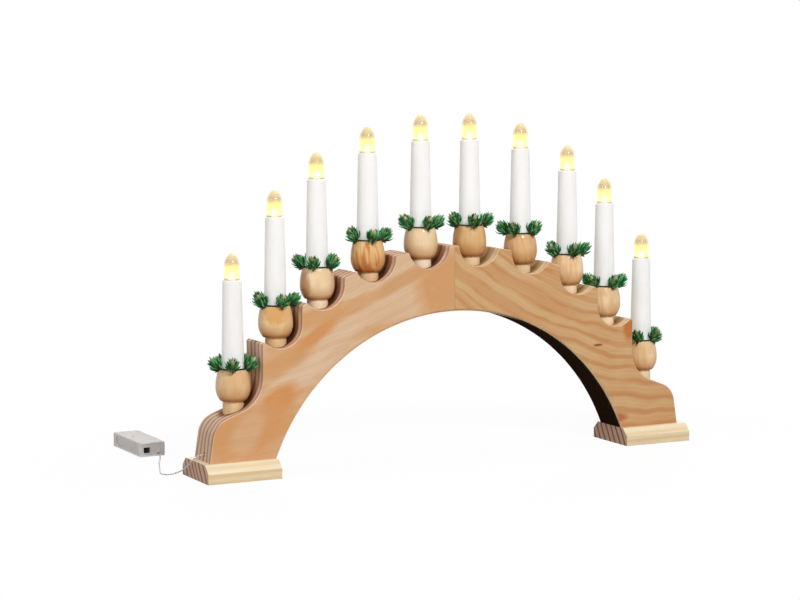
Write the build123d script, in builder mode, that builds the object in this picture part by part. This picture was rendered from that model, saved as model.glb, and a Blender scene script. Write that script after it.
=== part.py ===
import math
import os

from build123d import *

os.makedirs("parts", exist_ok=True)

# Candle arch, in millimetres. +X runs along the arch, -Y is its front, +Z is up.
# The origin lies on the ground, midway between the two feet.

# Feet
overall_length = 500.0
foot_length = 70.6
foot_depth = 60.9
foot_height = 16.4
foot_side_height = 9.2
foot_slope_inset = 7.4

# Arch outline
arch_thickness = 38.0
leg_setback = 6.6
leg_width = 63.2
underside_height = 139.5
crown_height = 198.5
end_horn_height = 119.0
end_wall_setback = 51.4
end_floor_height = 60.4
end_floor_tilt = 20.8
end_notch_radius = 31.0
shoulder_setback = 5.3
shoulder_radius = 20.0
notch_radius = 21.0
horn_round = 1.6
end_horn_round = 3.2
edge_round = 1.2

# Candles: distance from the middle, depth of the notch floor below the crown line,
# and how far the notch lies outside the candle
notched_candles = ((25.4, 18.8, 0.6), (79.4, 17.8, 1.8), (130.1, 18.5, 2.5), (171.3, 23.2, 3.0))
end_candle_setback = 30.4
end_seat_height = 60.0

# Turned cup
neck_radius = 9.6
neck_depth = 4.0
neck_height = 8.8
neck_fit = 0.15
ball_foot_radius = 11.7
ball_radius = 15.7
ball_middle = 20.5
cup_rim_radius = 13.0
cup_height = 36.6
cup_rim_round = 1.5
socket_depth = 8.0
wire_bore_radius = 4.0

# White sleeve
sleeve_base_radius = 10.2
sleeve_top_radius = 8.5
sleeve_height = 79.7
sleeve_wall = 1.8
sleeve_shoulder = 1.0
sleeve_fit = 0.15

# Flame lens, lamp and its carrier
lens_radius = 7.15
lens_straight = 13.6
lens_height = 23.7
lens_bulge_radius = 4.9
lens_bulge_height = 19.7
lens_tip_radius = 1.9
lens_tip_height = 22.9
lens_spigot_depth = 7.0
lens_fit = 0.2
lamp_radius = 2.5
lamp_flange = 0.4
lamp_flange_height = 1.0
lamp_height = 8.6
lamp_seat = 1.5
lamp_room = 0.3
carrier_radius = 4.3
carrier_head = 3.0
carrier_tail = 2.0

# Fir ring: wire, buds and needles
ring_wire_radius = 0.75
ring_room = 0.5
ring_lift = 0.05
tuft_count = 5
tuft_rise = 52.0
tuft_offset = 0.8
bud_radius = 1.3
bud_tip_radius = 0.3
bud_length = 8.0
needle_radius = 0.6
needle_length = 10.6
needle_start = 0.4
needle_tip_radius = 0.12
needle_layers = ((30.0, 6), (14.0, 3))
ring_turns = (247, 270, 232, 262, 271, 257, 218, 263, 274, 226)

# Wire channel, its cover and the harness
channel_width = 12.0
channel_depth = 9.0
cover_thickness = 1.0
cover_edge = 0.8
cover_glue = 0.15
harness_radius = 1.5
branch_radius = 1.2
lead_hole_radius = 2.2
lead_hole_y = -2.0
lead_hole_z = 22.6

# Dowels and screws
dowel_radius = 4.0
dowel_length = 36.0
dowel_lift = 20.5
dowel_spread = 22.0
dowel_fit = 0.1
screw_radius = 2.0
screw_head_radius = 3.9
screw_head_height = 2.6
screw_length = 32.0
screw_sink = 0.5
screw_spread_x = 28.0
screw_spread_y = 22.0
screw_fit = 0.1

# Battery case
case_x = -241.2
case_near_y = 129.0
case_width = 26.0
case_length = 71.0
case_height = 13.2
case_wall = 1.2
case_round = 2.2
case_edge_round = 1.0
bay_length = 53.0
lid_thickness = 1.2
lid_width = 22.8
lid_tongue = 0.6
lid_fit = 0.15
lid_grip_radius = 1.3
lid_grip_height = 0.5
lid_grip_x = -4.8
lid_grip_y = 38.0
cell_radius = 5.25
cell_length = 43.5
cell_nub_radius = 1.9
cell_nub_length = 1.0
cell_room = 0.15
contact_thickness = 0.4
contact_width = 8.0
contact_height = 7.5
contact_cone_radius = 2.6
contact_cone_tip = 1.6
panel_width = 20.6
panel_height = 9.0
panel_depth = 0.5
panel_x = -2.2
panel_z = 7.2
grip_length = 20.0
grip_width = 7.6
grip_depth = 0.5
grip_y = 52.0
grip_z = 7.4

# Slide switch
slot_width = 6.0
slot_height = 5.2
slot_x = -5.4
slot_z = 6.1
knob_width = 2.6
knob_height = 4.6
knob_recess = 0.2
switch_travel = 3.0
switch_room = 0.2
plate_width = 4.4
plate_height = 5.6
plate_depth = 1.6
switch_body_width = 10.4
switch_body_depth = 8.5
switch_body_height = 9.6

# Lead between the case and the arch
lead_radius = 0.8
lead_inset = 4.0
lead_hole_fit = 0.3
lead_exit_x = 6.2
lead_exit_z = 2.2
lead_exit_inset = 2.7
lead_bend_share = 0.45
lead_points = (
    (-235.3, 125.4, 2.0),
    (-237.6, 118.0, 1.1),
    (-241.6, 108.2, 0.9),
    (-247.4, 95.4, 0.9),
    (-253.6, 79.0, 0.9),
    (-260.2, 60.4, 0.9),
    (-266.0, 44.6, 0.9),
    (-268.4, 36.4, 0.9),
    (-266.0, 30.2, 0.9),
    (-260.0, 27.8, 1.6),
    (-255.2, 22.4, 4.4),
    (-254.2, 13.6, 8.4),
    (-254.0, 4.6, 13.2),
    (-252.4, -1.4, 18.4),
    (-249.0, -2.4, 21.6),
    (-244.2, -2.0, 22.6),
)

# Worked-out sizes
half_length = overall_length / 2
leg_end = half_length - leg_setback
leg_middle = leg_end - leg_width / 2
underside_half_span = leg_end - leg_width
underside_rise = underside_height - foot_height
underside_radius = (underside_half_span**2 + underside_rise**2) / (2 * underside_rise)
underside_centre = underside_height - underside_radius
end_wall = leg_end - end_wall_setback
shoulder = leg_end - shoulder_setback
crown_drop = crown_height - end_horn_height
crown_radius = (end_wall**2 + crown_drop**2) / (2 * crown_drop)
crown_centre = crown_height - crown_radius
end_candle = leg_end - end_candle_setback
sleeve_top = cup_height + sleeve_height
sleeve_foot = cup_height - socket_depth
lens_spigot_radius = sleeve_top_radius - sleeve_wall - lens_fit
lamp_base = sleeve_top - lamp_seat
carrier_base = sleeve_top - lens_spigot_depth - carrier_tail
lamp_bore = lamp_radius + lamp_flange + lamp_room
ring_radius = sleeve_base_radius + ring_room + ring_wire_radius
ring_height = cup_height + ring_lift + ring_wire_radius
run_radius = underside_radius + channel_depth / 2
run_start = math.degrees(math.asin((lead_hole_z - underside_centre) / run_radius))
run_end_x = run_radius * math.cos(math.radians(run_start))
case_far_y = case_near_y + case_length
case_middle_y = case_near_y + case_length / 2
bay_far_y = case_far_y - case_wall
bay_near_y = bay_far_y - bay_length
bay_width = 4 * cell_radius + 3 * cell_room
lid_under = case_height - lid_thickness
cell_z = case_wall + cell_room + cell_radius
cell_x = cell_radius + cell_room / 2
contact_reach = (bay_length - cell_length - cell_nub_length) / 2 - contact_thickness
switch_face_y = case_near_y + case_wall
on_base = (Align.CENTER, Align.CENTER, Align.MIN)


def crown_line(x):
    return crown_centre + math.sqrt(crown_radius**2 - x**2)


def end_floor(x):
    return end_floor_height - (x - end_candle) * math.tan(math.radians(end_floor_tilt))


def run_line(x):
    return underside_centre + math.sqrt(run_radius**2 - x**2)


def save(piece, name):
    piece.part.label = name
    export_step(piece.part, f"parts/{name}.step")


inner_seats = [(x, crown_line(x) - depth) for x, depth, shift in notched_candles]
right_seats = inner_seats + [(end_candle, end_seat_height)]
candles = sorted([(-x, z) for x, z in right_seats] + right_seats)
wire_ends = [lead_hole_z if abs(x) > run_end_x else run_line(x) for x, z in candles]
screw_spots = [
    (side * leg_middle + corner * screw_spread_x / 2, corner * screw_spread_y / 2)
    for side in (-1, 1)
    for corner in (-1, 1)
]
dowel_spots = [
    Location((0, side * dowel_spread / 2, underside_height + dowel_lift), (0, 90, 0)) for side in (-1, 1)
]

# Arch: one outline, notched for the candles and cut away at both shoulders
with BuildPart() as arch:
    with BuildSketch(Plane.XZ) as arch_outline:
        with Locations((0, crown_centre)):
            Circle(crown_radius)
        with Locations((0, underside_centre)):
            Circle(underside_radius, mode=Mode.SUBTRACT)
        with Locations((0, foot_height)):
            Rectangle(overall_length, crown_height, align=(Align.CENTER, Align.MIN), mode=Mode.INTERSECT)
        for side in (-1, 1):
            with BuildLine():
                FilletPolyline(
                    (side * end_wall, crown_height),
                    (side * end_wall, end_floor(end_wall)),
                    (side * shoulder, end_floor(shoulder)),
                    (side * leg_end, foot_height),
                    radius=(end_notch_radius, shoulder_radius),
                )
                Polyline(
                    (side * leg_end, foot_height),
                    (side * leg_end, 0),
                    (side * overall_length, 0),
                    (side * overall_length, crown_height),
                    (side * end_wall, crown_height),
                )
            make_face(mode=Mode.SUBTRACT)
        for x, depth, shift in notched_candles:
            middle = crown_line(x) - depth + notch_radius
            with Locations((x + shift, middle), (-x - shift, middle)):
                Circle(notch_radius, mode=Mode.SUBTRACT)
                Rectangle(
                    2 * notch_radius, crown_height, align=(Align.CENTER, Align.MIN), mode=Mode.SUBTRACT
                )
        horn_corners = [
            corner
            for corner in arch_outline.vertices()
            if abs(math.hypot(corner.X, corner.Y - crown_centre) - crown_radius) < edge_round / 10
        ]
        end_corners = [corner for corner in horn_corners if abs(abs(corner.X) - end_wall) < edge_round / 10]
        fillet([corner for corner in horn_corners if corner not in end_corners], horn_round)
        fillet(end_corners, end_horn_round)
    extrude(amount=arch_thickness / 2, both=True)
    rims = arch.faces().filter_by(Axis.Y).edges()
    fillet([rim for rim in rims if rim.center().Z > foot_height + edge_round / 10], edge_round)
    for (x, z), wire_end in zip(candles, wire_ends):
        with Locations((x, 0, z - neck_depth)):
            Cylinder(neck_radius + neck_fit, neck_depth + neck_height, align=on_base, mode=Mode.SUBTRACT)
        with Locations((x, 0, wire_end)):
            Cylinder(wire_bore_radius, z - wire_end, align=on_base, mode=Mode.SUBTRACT)
    with BuildSketch(Plane.XZ):
        with Locations((0, underside_centre)):
            Circle(underside_radius + channel_depth)
    extrude(amount=channel_width / 2, both=True, mode=Mode.SUBTRACT)
    with Locations(Location((-leg_end, lead_hole_y, lead_hole_z), (0, 90, 0))):
        Cylinder(lead_hole_radius, leg_width, align=on_base, mode=Mode.SUBTRACT)
    with Locations(Location((end_candle, lead_hole_y, lead_hole_z), (0, -90, 0))):
        Cylinder(lead_hole_radius, end_candle - underside_half_span, align=on_base, mode=Mode.SUBTRACT)
    with Locations(*dowel_spots):
        Cylinder(dowel_radius + dowel_fit, dowel_length + 2 * dowel_fit, mode=Mode.SUBTRACT)
    with Locations(*[(x, y, 0) for x, y in screw_spots]):
        Cylinder(screw_radius + screw_fit, screw_length + screw_fit, align=on_base, mode=Mode.SUBTRACT)

with BuildPart() as arch_left:
    add(arch.part)
    split(bisect_by=Plane.YZ, keep=Keep.BOTTOM)
save(arch_left, "arch_left")

with BuildPart() as arch_right:
    add(arch.part)
    split(bisect_by=Plane.YZ, keep=Keep.TOP)
save(arch_right, "arch_right")

with BuildPart() as crown_dowels:
    with Locations(*dowel_spots):
        Cylinder(dowel_radius, dowel_length)
save(crown_dowels, "crown_dowels")

# Feet: a sloped edge front and back, screwed on from below
with BuildPart() as feet:
    with BuildSketch(Plane.YZ.offset(-half_length)):
        with BuildLine():
            Polyline(
                (-foot_depth / 2, 0),
                (foot_depth / 2, 0),
                (foot_depth / 2, foot_side_height),
                (foot_depth / 2 - foot_slope_inset, foot_height),
                (foot_slope_inset - foot_depth / 2, foot_height),
                (-foot_depth / 2, foot_side_height),
                close=True,
            )
        make_face()
    extrude(amount=foot_length)
    mirror(about=Plane.YZ)
    with Locations(*[(x, y, 0) for x, y in screw_spots]):
        Cylinder(screw_radius + screw_fit, foot_height, align=on_base, mode=Mode.SUBTRACT)
        Cylinder(screw_head_radius + screw_fit, screw_sink, align=on_base, mode=Mode.SUBTRACT)
    with Locations(*[(x, y, screw_sink) for x, y in screw_spots]):
        Cone(
            screw_head_radius + screw_fit,
            screw_radius + screw_fit,
            screw_head_height,
            align=on_base,
            mode=Mode.SUBTRACT,
        )

with BuildPart() as foot_left:
    add(feet.part)
    split(bisect_by=Plane.YZ, keep=Keep.BOTTOM)
save(foot_left, "foot_left")

with BuildPart() as foot_right:
    add(feet.part)
    split(bisect_by=Plane.YZ, keep=Keep.TOP)
save(foot_right, "foot_right")

with BuildPart() as foot_screws:
    with Locations(*[(x, y, screw_sink) for x, y in screw_spots]):
        Cone(screw_head_radius, screw_radius, screw_head_height, align=on_base)
        Cylinder(screw_radius, screw_length - screw_sink, align=on_base)
save(foot_screws, "foot_screws")

# Dark strip that closes the wire channel under the arch
with BuildPart() as channel_cover:
    with BuildSketch(Plane.XZ):
        with Locations((0, underside_centre)):
            Circle(underside_radius - cover_glue)
            Circle(underside_radius - cover_glue - cover_thickness, mode=Mode.SUBTRACT)
        with Locations((0, foot_height)):
            Rectangle(overall_length, crown_height, align=(Align.CENTER, Align.MIN), mode=Mode.INTERSECT)
    extrude(amount=arch_thickness / 2 - edge_round - cover_edge, both=True)
save(channel_cover, "channel_cover")

# Harness: a run along the channel and a branch up to each lamp
with BuildPart() as wire_harness:
    with BuildLine(Plane.XZ) as run_path:
        CenterArc((0, underside_centre), run_radius, run_start, 180 - 2 * run_start)
    with BuildSketch(Plane(origin=run_path.line @ 0, z_dir=run_path.line % 0)):
        Circle(harness_radius)
    sweep()
    with Locations(Location((lead_inset - leg_end, lead_hole_y, lead_hole_z), (0, 90, 0))):
        Cylinder(harness_radius, leg_end - lead_inset - run_end_x + harness_radius, align=on_base)
    with Locations(Location((end_candle, lead_hole_y, lead_hole_z), (0, -90, 0))):
        Cylinder(harness_radius, end_candle - run_end_x + harness_radius, align=on_base)
    for (x, z), wire_end in zip(candles, wire_ends):
        with Locations((x, 0, wire_end)):
            Cylinder(branch_radius, z + carrier_base - wire_end, align=on_base)
save(wire_harness, "wire_harness")

# Turned cup: a straight neck under a flat-topped ball, bored for the sleeve and the wire
with BuildPart() as cup:
    with BuildSketch(Plane.XZ):
        with BuildLine():
            Polyline(
                (0, cup_height),
                (0, -neck_depth),
                (neck_radius, -neck_depth),
                (neck_radius, neck_height),
                (ball_foot_radius, neck_height),
            )
            TangentArc((ball_radius, ball_middle), (ball_foot_radius, neck_height), tangent=(0, -1))
            TangentArc((ball_radius, ball_middle), (cup_rim_radius, cup_height), tangent=(0, 1))
            Line((cup_rim_radius, cup_height), (0, cup_height))
        make_face()
    revolve(axis=Axis.Z)
    fillet(cup.edges().group_by(Axis.Z)[-1], cup_rim_round)
    Cylinder(wire_bore_radius, 2 * (cup_height + neck_depth), mode=Mode.SUBTRACT)
    with Locations((0, 0, sleeve_foot)):
        Cylinder(sleeve_base_radius + sleeve_fit, socket_depth, align=on_base, mode=Mode.SUBTRACT)

# White sleeve: a tapered tube with a sloped shoulder at its mouth
with BuildPart() as sleeve:
    with BuildSketch(Plane.XZ):
        with BuildLine():
            Polyline(
                (sleeve_base_radius, sleeve_foot),
                (sleeve_base_radius, cup_height),
                (sleeve_top_radius, sleeve_top - sleeve_shoulder),
                (lens_radius, sleeve_top),
                (sleeve_top_radius - sleeve_wall, sleeve_top),
                (sleeve_base_radius - sleeve_wall, cup_height),
                (sleeve_base_radius - sleeve_wall, sleeve_foot),
                close=True,
            )
        make_face()
    revolve(axis=Axis.Z)

# Flame lens: a bullet with a spigot in the sleeve's mouth, bored for its lamp
with BuildPart() as lens:
    with BuildSketch(Plane.XZ.shift_origin((0, 0, sleeve_top))):
        with BuildLine():
            Polyline(
                (0, lens_height),
                (0, -lens_spigot_depth),
                (lens_spigot_radius, -lens_spigot_depth),
                (lens_spigot_radius, 0),
                (lens_radius, 0),
                (lens_radius, lens_straight),
            )
            ThreePointArc(
                (lens_radius, lens_straight),
                (lens_bulge_radius, lens_bulge_height),
                (lens_tip_radius, lens_tip_height),
            )
            TangentArc(
                (0, lens_height), (lens_tip_radius, lens_tip_height), tangent=(1, 0), tangent_from_first=True
            )
        make_face()
    revolve(axis=Axis.Z)
    with Locations((0, 0, sleeve_top - lens_spigot_depth)):
        Cylinder(carrier_radius + lens_fit, carrier_head, align=on_base, mode=Mode.SUBTRACT)
        Cylinder(
            lamp_bore,
            lens_spigot_depth - lamp_seat + lamp_height - lamp_radius,
            align=on_base,
            mode=Mode.SUBTRACT,
        )
    with Locations((0, 0, lamp_base + lamp_height - lamp_radius)):
        Sphere(lamp_bore, mode=Mode.SUBTRACT)

# Lamp: a flanged round-nosed diode on a stepped carrier
with BuildPart() as lamp:
    with Locations((0, 0, lamp_base)):
        Cylinder(lamp_radius + lamp_flange, lamp_flange_height, align=on_base)
        Cylinder(lamp_radius, lamp_height - lamp_radius, align=on_base)
    with Locations((0, 0, lamp_base + lamp_height - lamp_radius)):
        Sphere(lamp_radius)

with BuildPart() as carrier:
    with Locations((0, 0, carrier_base)):
        Cylinder(carrier_radius, carrier_head + carrier_tail, align=on_base)
        Cylinder(lamp_radius + lamp_flange, lamp_base - carrier_base, align=on_base)

# Fir ring: five tufts on a wire, each a bud among three-sided needles
with BuildPart() as needle:
    with BuildSketch(Plane.XY.offset(needle_start)):
        RegularPolygon(needle_radius, 3)
    with BuildSketch(Plane.XY.offset(needle_start + needle_length)):
        RegularPolygon(needle_tip_radius, 3)
    loft(ruled=True)

tuft_axis = Vector(1, 0, 0).rotate(Axis.Y, -tuft_rise)
tuft_seat = Plane((ring_radius + tuft_offset, 0, 0), x_dir=(0, 1, 0), z_dir=tuft_axis)
tufts = [
    Location((0, 0, ring_height), (0, 0, i * 360 / tuft_count)) * tuft_seat.location
    for i in range(tuft_count)
]
needle_leans = [
    Location((0, 0, 0), (0, 0, i * 360 / count)) * Location((0, 0, 0), (0, lean, 0))
    for lean, count in needle_layers
    for i in range(count)
]

with BuildPart() as fir_ring:
    with Locations((0, 0, ring_height)):
        Torus(ring_radius, ring_wire_radius)
    with Locations(*tufts):
        Cone(bud_radius, bud_tip_radius, bud_length, align=on_base)
    with Locations(*[tuft * lean for tuft in tufts for lean in needle_leans]):
        add(needle.part)

for number, (x, z) in enumerate(candles, start=1):
    with BuildPart() as candle_cup:
        with Locations((x, 0, z)):
            add(cup.part)
    save(candle_cup, f"candle_cup_{number:02d}")
    with BuildPart() as candle_sleeve:
        with Locations((x, 0, z)):
            add(sleeve.part)
    save(candle_sleeve, f"candle_sleeve_{number:02d}")
    with BuildPart() as flame_lens:
        with Locations((x, 0, z)):
            add(lens.part)
    save(flame_lens, f"flame_lens_{number:02d}")
    with BuildPart() as turned_ring:
        with Locations(Location((x, 0, z), (0, 0, ring_turns[number - 1]))):
            add(fir_ring.part)
    save(turned_ring, f"fir_ring_{number:02d}")

with BuildPart() as led_lamps:
    with Locations(*[(x, 0, z) for x, z in candles]):
        add(lamp.part)
save(led_lamps, "led_lamps")

with BuildPart() as led_carriers:
    with Locations(*[(x, 0, z) for x, z in candles]):
        add(carrier.part)
save(led_carriers, "led_carriers")


# Lid section: a dovetail across the case, grown by a gap for its groove
def lid_section(gap):
    with BuildSketch(Plane.XZ.offset(-bay_near_y)) as section:
        with BuildLine():
            Polyline(
                (case_x - lid_width / 2 - gap, case_height),
                (case_x + lid_width / 2 + gap, case_height),
                (case_x + lid_width / 2 + lid_tongue + gap, lid_under - gap),
                (case_x - lid_width / 2 - lid_tongue - gap, lid_under - gap),
                close=True,
            )
        make_face()
    return section.sketch


# Battery case: a moulded tray with a cell bay under the lid and a switch room at its near end
with BuildPart() as battery_case:
    with Locations((case_x, case_middle_y, 0)):
        Box(case_width, case_length, case_height, align=on_base)
    fillet(battery_case.edges().filter_by(Axis.Z), case_round)
    fillet(battery_case.faces().filter_by(Axis.Z).edges(), case_edge_round)
    with Locations((case_x, bay_far_y - bay_length / 2, case_wall)):
        Box(bay_width, bay_length, case_height, align=on_base, mode=Mode.SUBTRACT)
    extrude(lid_section(lid_fit), amount=-case_length, mode=Mode.SUBTRACT)
    with Locations((case_x, (switch_face_y + bay_near_y - case_wall) / 2, case_wall)):
        Box(
            case_width - 2 * case_wall,
            bay_near_y - case_wall - switch_face_y,
            lid_under - case_wall,
            align=on_base,
            mode=Mode.SUBTRACT,
        )
    with Locations((case_x + panel_x, case_near_y, panel_z)):
        Box(panel_width, 2 * panel_depth, panel_height, mode=Mode.SUBTRACT)
    with Locations((case_x + slot_x, case_near_y, slot_z)):
        Box(slot_width, 2 * case_wall, slot_height, mode=Mode.SUBTRACT)
    with Locations(Location((case_x + lead_exit_x, case_near_y, lead_exit_z), (90, 0, 0))):
        Cylinder(lead_radius + lead_hole_fit, 2 * case_wall, mode=Mode.SUBTRACT)
    with BuildSketch(Plane.YZ.offset(case_x - case_width / 2)):
        with Locations((case_near_y + grip_y, grip_z)):
            SlotOverall(grip_length, grip_width)
    extrude(amount=grip_depth, mode=Mode.SUBTRACT)
save(battery_case, "battery_case")

with BuildPart() as battery_lid:
    extrude(lid_section(0), amount=bay_near_y - case_far_y)
    with Locations((case_x + lid_grip_x, case_near_y + lid_grip_y, case_height)):
        Cone(lid_grip_radius, lid_grip_radius / 2, lid_grip_height, align=on_base)
save(battery_lid, "battery_lid")

# Two cells, laid nose to tail, and the stamped contacts at their ends
with BuildPart() as battery_cells:
    for side in (-1, 1):
        tail_y = bay_near_y + bay_length / 2 - side * (bay_length / 2 - contact_thickness - contact_reach)
        with Locations(Location((case_x + side * cell_x, tail_y, cell_z), (-side * 90, 0, 0))):
            Cylinder(cell_radius, cell_length, align=on_base)
            Cylinder(cell_nub_radius, cell_length + cell_nub_length, align=on_base)
save(battery_cells, "battery_cells")

with BuildPart() as contact_plates:
    for side in (-1, 1):
        with Locations((case_x + side * cell_x, bay_near_y + contact_thickness / 2, cell_z)):
            Box(contact_width, contact_thickness, contact_height)
        with Locations(Location((case_x + side * cell_x, bay_near_y + contact_thickness, cell_z), (-90, 0, 0))):
            Cone(contact_cone_radius, contact_cone_tip, contact_reach, align=on_base)
        with Locations(Location((case_x + side * cell_x, bay_far_y - contact_thickness, cell_z), (90, 0, 0))):
            Cone(contact_cone_radius, contact_cone_tip, contact_reach, align=on_base)
    with Locations((case_x, bay_far_y - contact_thickness / 2, cell_z)):
        Box(contact_width + 2 * cell_x, contact_thickness, contact_height)
save(contact_plates, "contact_plates")

# Slide switch: a block behind the slot and a plate with a knob that slides in it
with BuildPart() as switch_body:
    with Locations((case_x + slot_x, switch_face_y + switch_body_depth / 2, case_wall)):
        Box(switch_body_width, switch_body_depth, switch_body_height, align=on_base)
    with Locations((case_x + slot_x, switch_face_y, slot_z)):
        Box(
            plate_width + switch_travel + 2 * switch_room,
            2 * (plate_depth + 2 * switch_room),
            plate_height + 2 * switch_room,
            mode=Mode.SUBTRACT,
        )
save(switch_body, "switch_body")

with BuildPart() as switch_slider:
    knob_depth = case_wall - panel_depth - knob_recess + switch_room
    with Locations((case_x + slot_x + switch_travel / 2, switch_face_y + switch_room, slot_z)):
        Box(plate_width, plate_depth, plate_height, align=(Align.CENTER, Align.MIN, Align.CENTER))
        Box(knob_width, knob_depth, knob_height, align=(Align.CENTER, Align.MAX, Align.CENTER))
save(switch_slider, "switch_slider")

# Lead: a limp pair from the case over the left foot into the leg
lead_start = (case_x + lead_exit_x, case_near_y + lead_exit_inset, lead_exit_z)
lead_end = (lead_inset - leg_end, lead_hole_y, lead_hole_z)
lead_route = [Vector(*point) for point in (lead_start, *lead_points, lead_end)]
lead_bends = []
for before, corner, after in zip(lead_route, lead_route[1:], lead_route[2:]):
    half_turn = math.radians((corner - before).get_angle(after - corner)) / 2
    shorter_run = min((corner - before).length, (after - corner).length)
    lead_bends.append(lead_bend_share * shorter_run / math.tan(half_turn))

with BuildPart() as lead_cord:
    with BuildLine() as lead_path:
        FilletPolyline(*lead_route, radius=lead_bends)
    with BuildSketch(Plane(origin=lead_path.line @ 0, z_dir=lead_path.line % 0)):
        Circle(lead_radius)
    sweep()
save(lead_cord, "lead_cord")
print("lead bend radii", [round(bend, 1) for bend in lead_bends])
print("lead length", round(lead_path.wire().length, 1))
lead_tube_volume = math.pi * lead_radius**2 * lead_path.wire().length
print("lead volume over section times length", round(lead_cord.part.volume / lead_tube_volume, 4))
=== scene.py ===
import bpy
import math
import numpy as np
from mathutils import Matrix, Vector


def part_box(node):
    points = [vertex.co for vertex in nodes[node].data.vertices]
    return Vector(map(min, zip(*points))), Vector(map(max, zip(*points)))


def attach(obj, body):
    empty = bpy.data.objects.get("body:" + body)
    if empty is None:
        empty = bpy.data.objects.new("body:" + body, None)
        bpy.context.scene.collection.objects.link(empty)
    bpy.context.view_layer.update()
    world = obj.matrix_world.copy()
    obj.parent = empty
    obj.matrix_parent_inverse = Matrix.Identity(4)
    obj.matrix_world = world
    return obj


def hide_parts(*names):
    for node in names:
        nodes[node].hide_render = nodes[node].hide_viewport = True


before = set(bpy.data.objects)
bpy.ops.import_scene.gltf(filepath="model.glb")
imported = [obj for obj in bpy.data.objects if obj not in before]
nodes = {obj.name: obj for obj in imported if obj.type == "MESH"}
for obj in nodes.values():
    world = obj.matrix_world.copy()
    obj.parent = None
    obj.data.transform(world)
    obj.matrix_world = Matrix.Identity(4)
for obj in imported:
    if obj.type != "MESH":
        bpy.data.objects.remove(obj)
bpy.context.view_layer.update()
candleNumbers = ["%02d" % number for number in range(1, 11)]
print("frame loaded:", len(nodes), "nodes")


# camera at the photograph's viewpoint
cameraView = {
    "place": (-1.0430, -1.9839, 0.4005),
    "turn": (83.546, 0.182, -26.684),  # degrees: tilt, roll, heading
    "lens": 109.785,
    "sensor": 36.0,
}


def makeCamera(view):
    data = bpy.data.cameras.new("camera")
    data.sensor_fit = "HORIZONTAL"
    data.sensor_width = view["sensor"]
    data.lens = view["lens"]
    data.clip_start = 0.05
    data.clip_end = 50.0
    camera = bpy.data.objects.new("camera", data)
    bpy.context.scene.collection.objects.link(camera)
    camera.location = view["place"]
    camera.rotation_euler = [math.radians(angle) for angle in view["turn"]]
    bpy.context.scene.camera = camera


makeCamera(cameraView)
print("camera placed")


# node and mesh helpers
def tone(red, green, blue):
    # screen values 0 to 255 turned into linear light
    screen = np.array([red, green, blue]) / 255
    linear = np.where(screen <= 0.04045, screen / 12.92, ((screen + 0.055) / 1.055) ** 2.4)
    return (*linear.tolist(), 1.0)


def grey(level):
    return (level, level, level, 1.0)


def newFinish(name, rough):
    material = bpy.data.materials.new(name)
    material.use_nodes = True
    tree = material.node_tree
    shader = tree.nodes["Principled BSDF"]
    shader.inputs["Roughness"].default_value = rough
    return material, tree, shader


def addNode(tree, kind, **settings):
    made = tree.nodes.new("ShaderNode" + kind)
    for key, value in settings.items():
        setattr(made, key, value)
    return made


def own(tree):
    return addNode(tree, "TexCoord").outputs["Object"]


def place(tree, turn=(0, 0, 0), stretch=(1, 1, 1), shift=(0, 0, 0)):
    # the piece's own coordinates, first turned, then stretched and shifted
    turner = addNode(tree, "Mapping")
    turner.inputs["Rotation"].default_value = [math.radians(angle) for angle in turn]
    tree.links.new(own(tree), turner.inputs["Vector"])
    mapping = addNode(tree, "Mapping")
    mapping.inputs["Scale"].default_value = stretch
    mapping.inputs["Location"].default_value = shift
    tree.links.new(turner.outputs["Vector"], mapping.inputs["Vector"])
    return mapping.outputs["Vector"]


def feed(tree, socket, value):
    # a constant is set on the socket, an output is linked to it
    if isinstance(value, (int, float, tuple)):
        socket.default_value = value
    else:
        tree.links.new(value, socket)


def calculate(tree, operation, *values):
    made = addNode(tree, "Math", operation=operation)
    for socket, value in zip(made.inputs, values):
        feed(tree, socket, value)
    return made.outputs["Value"]


def bentGrain(tree, slope, bow, along, waver=0.0, waverScale=1.0):
    # coordinates whose third value rises across wavering grain lines of slope and bow
    split = addNode(tree, "SeparateXYZ")
    tree.links.new(own(tree), split.inputs["Vector"])
    lean = calculate(tree, "MULTIPLY_ADD", split.outputs["X"], bow, slope)
    across = calculate(tree, "MULTIPLY_ADD", split.outputs["X"], lean, split.outputs["Z"])
    sway = calculate(tree, "MULTIPLY_ADD", noise(tree, own(tree), waverScale), waver, across)
    join = addNode(tree, "CombineXYZ")
    tree.links.new(calculate(tree, "MULTIPLY", split.outputs["X"], along), join.inputs["X"])
    tree.links.new(split.outputs["Y"], join.inputs["Y"])
    tree.links.new(sway, join.inputs["Z"])
    return join.outputs["Vector"]


def noise(tree, vector, scale, detail=2.0, rough=0.5, warp=0.0):
    made = addNode(tree, "TexNoise")
    made.inputs["Scale"].default_value = scale
    made.inputs["Detail"].default_value = detail
    made.inputs["Roughness"].default_value = rough
    made.inputs["Distortion"].default_value = warp
    tree.links.new(vector, made.inputs["Vector"])
    return made.outputs["Fac"]


def bands(tree, vector, period, warp, warpScale, direction="Z"):
    # bands across the direction, one each period (metres), wavering by warp
    made = addNode(tree, "TexWave", wave_type="BANDS", bands_direction=direction)
    made.inputs["Scale"].default_value = 2 * math.pi / (20 * period)
    made.inputs["Distortion"].default_value = warp
    made.inputs["Detail"].default_value = 2.0
    made.inputs["Detail Scale"].default_value = warpScale
    tree.links.new(vector, made.inputs["Vector"])
    return made.outputs["Fac"]


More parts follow.
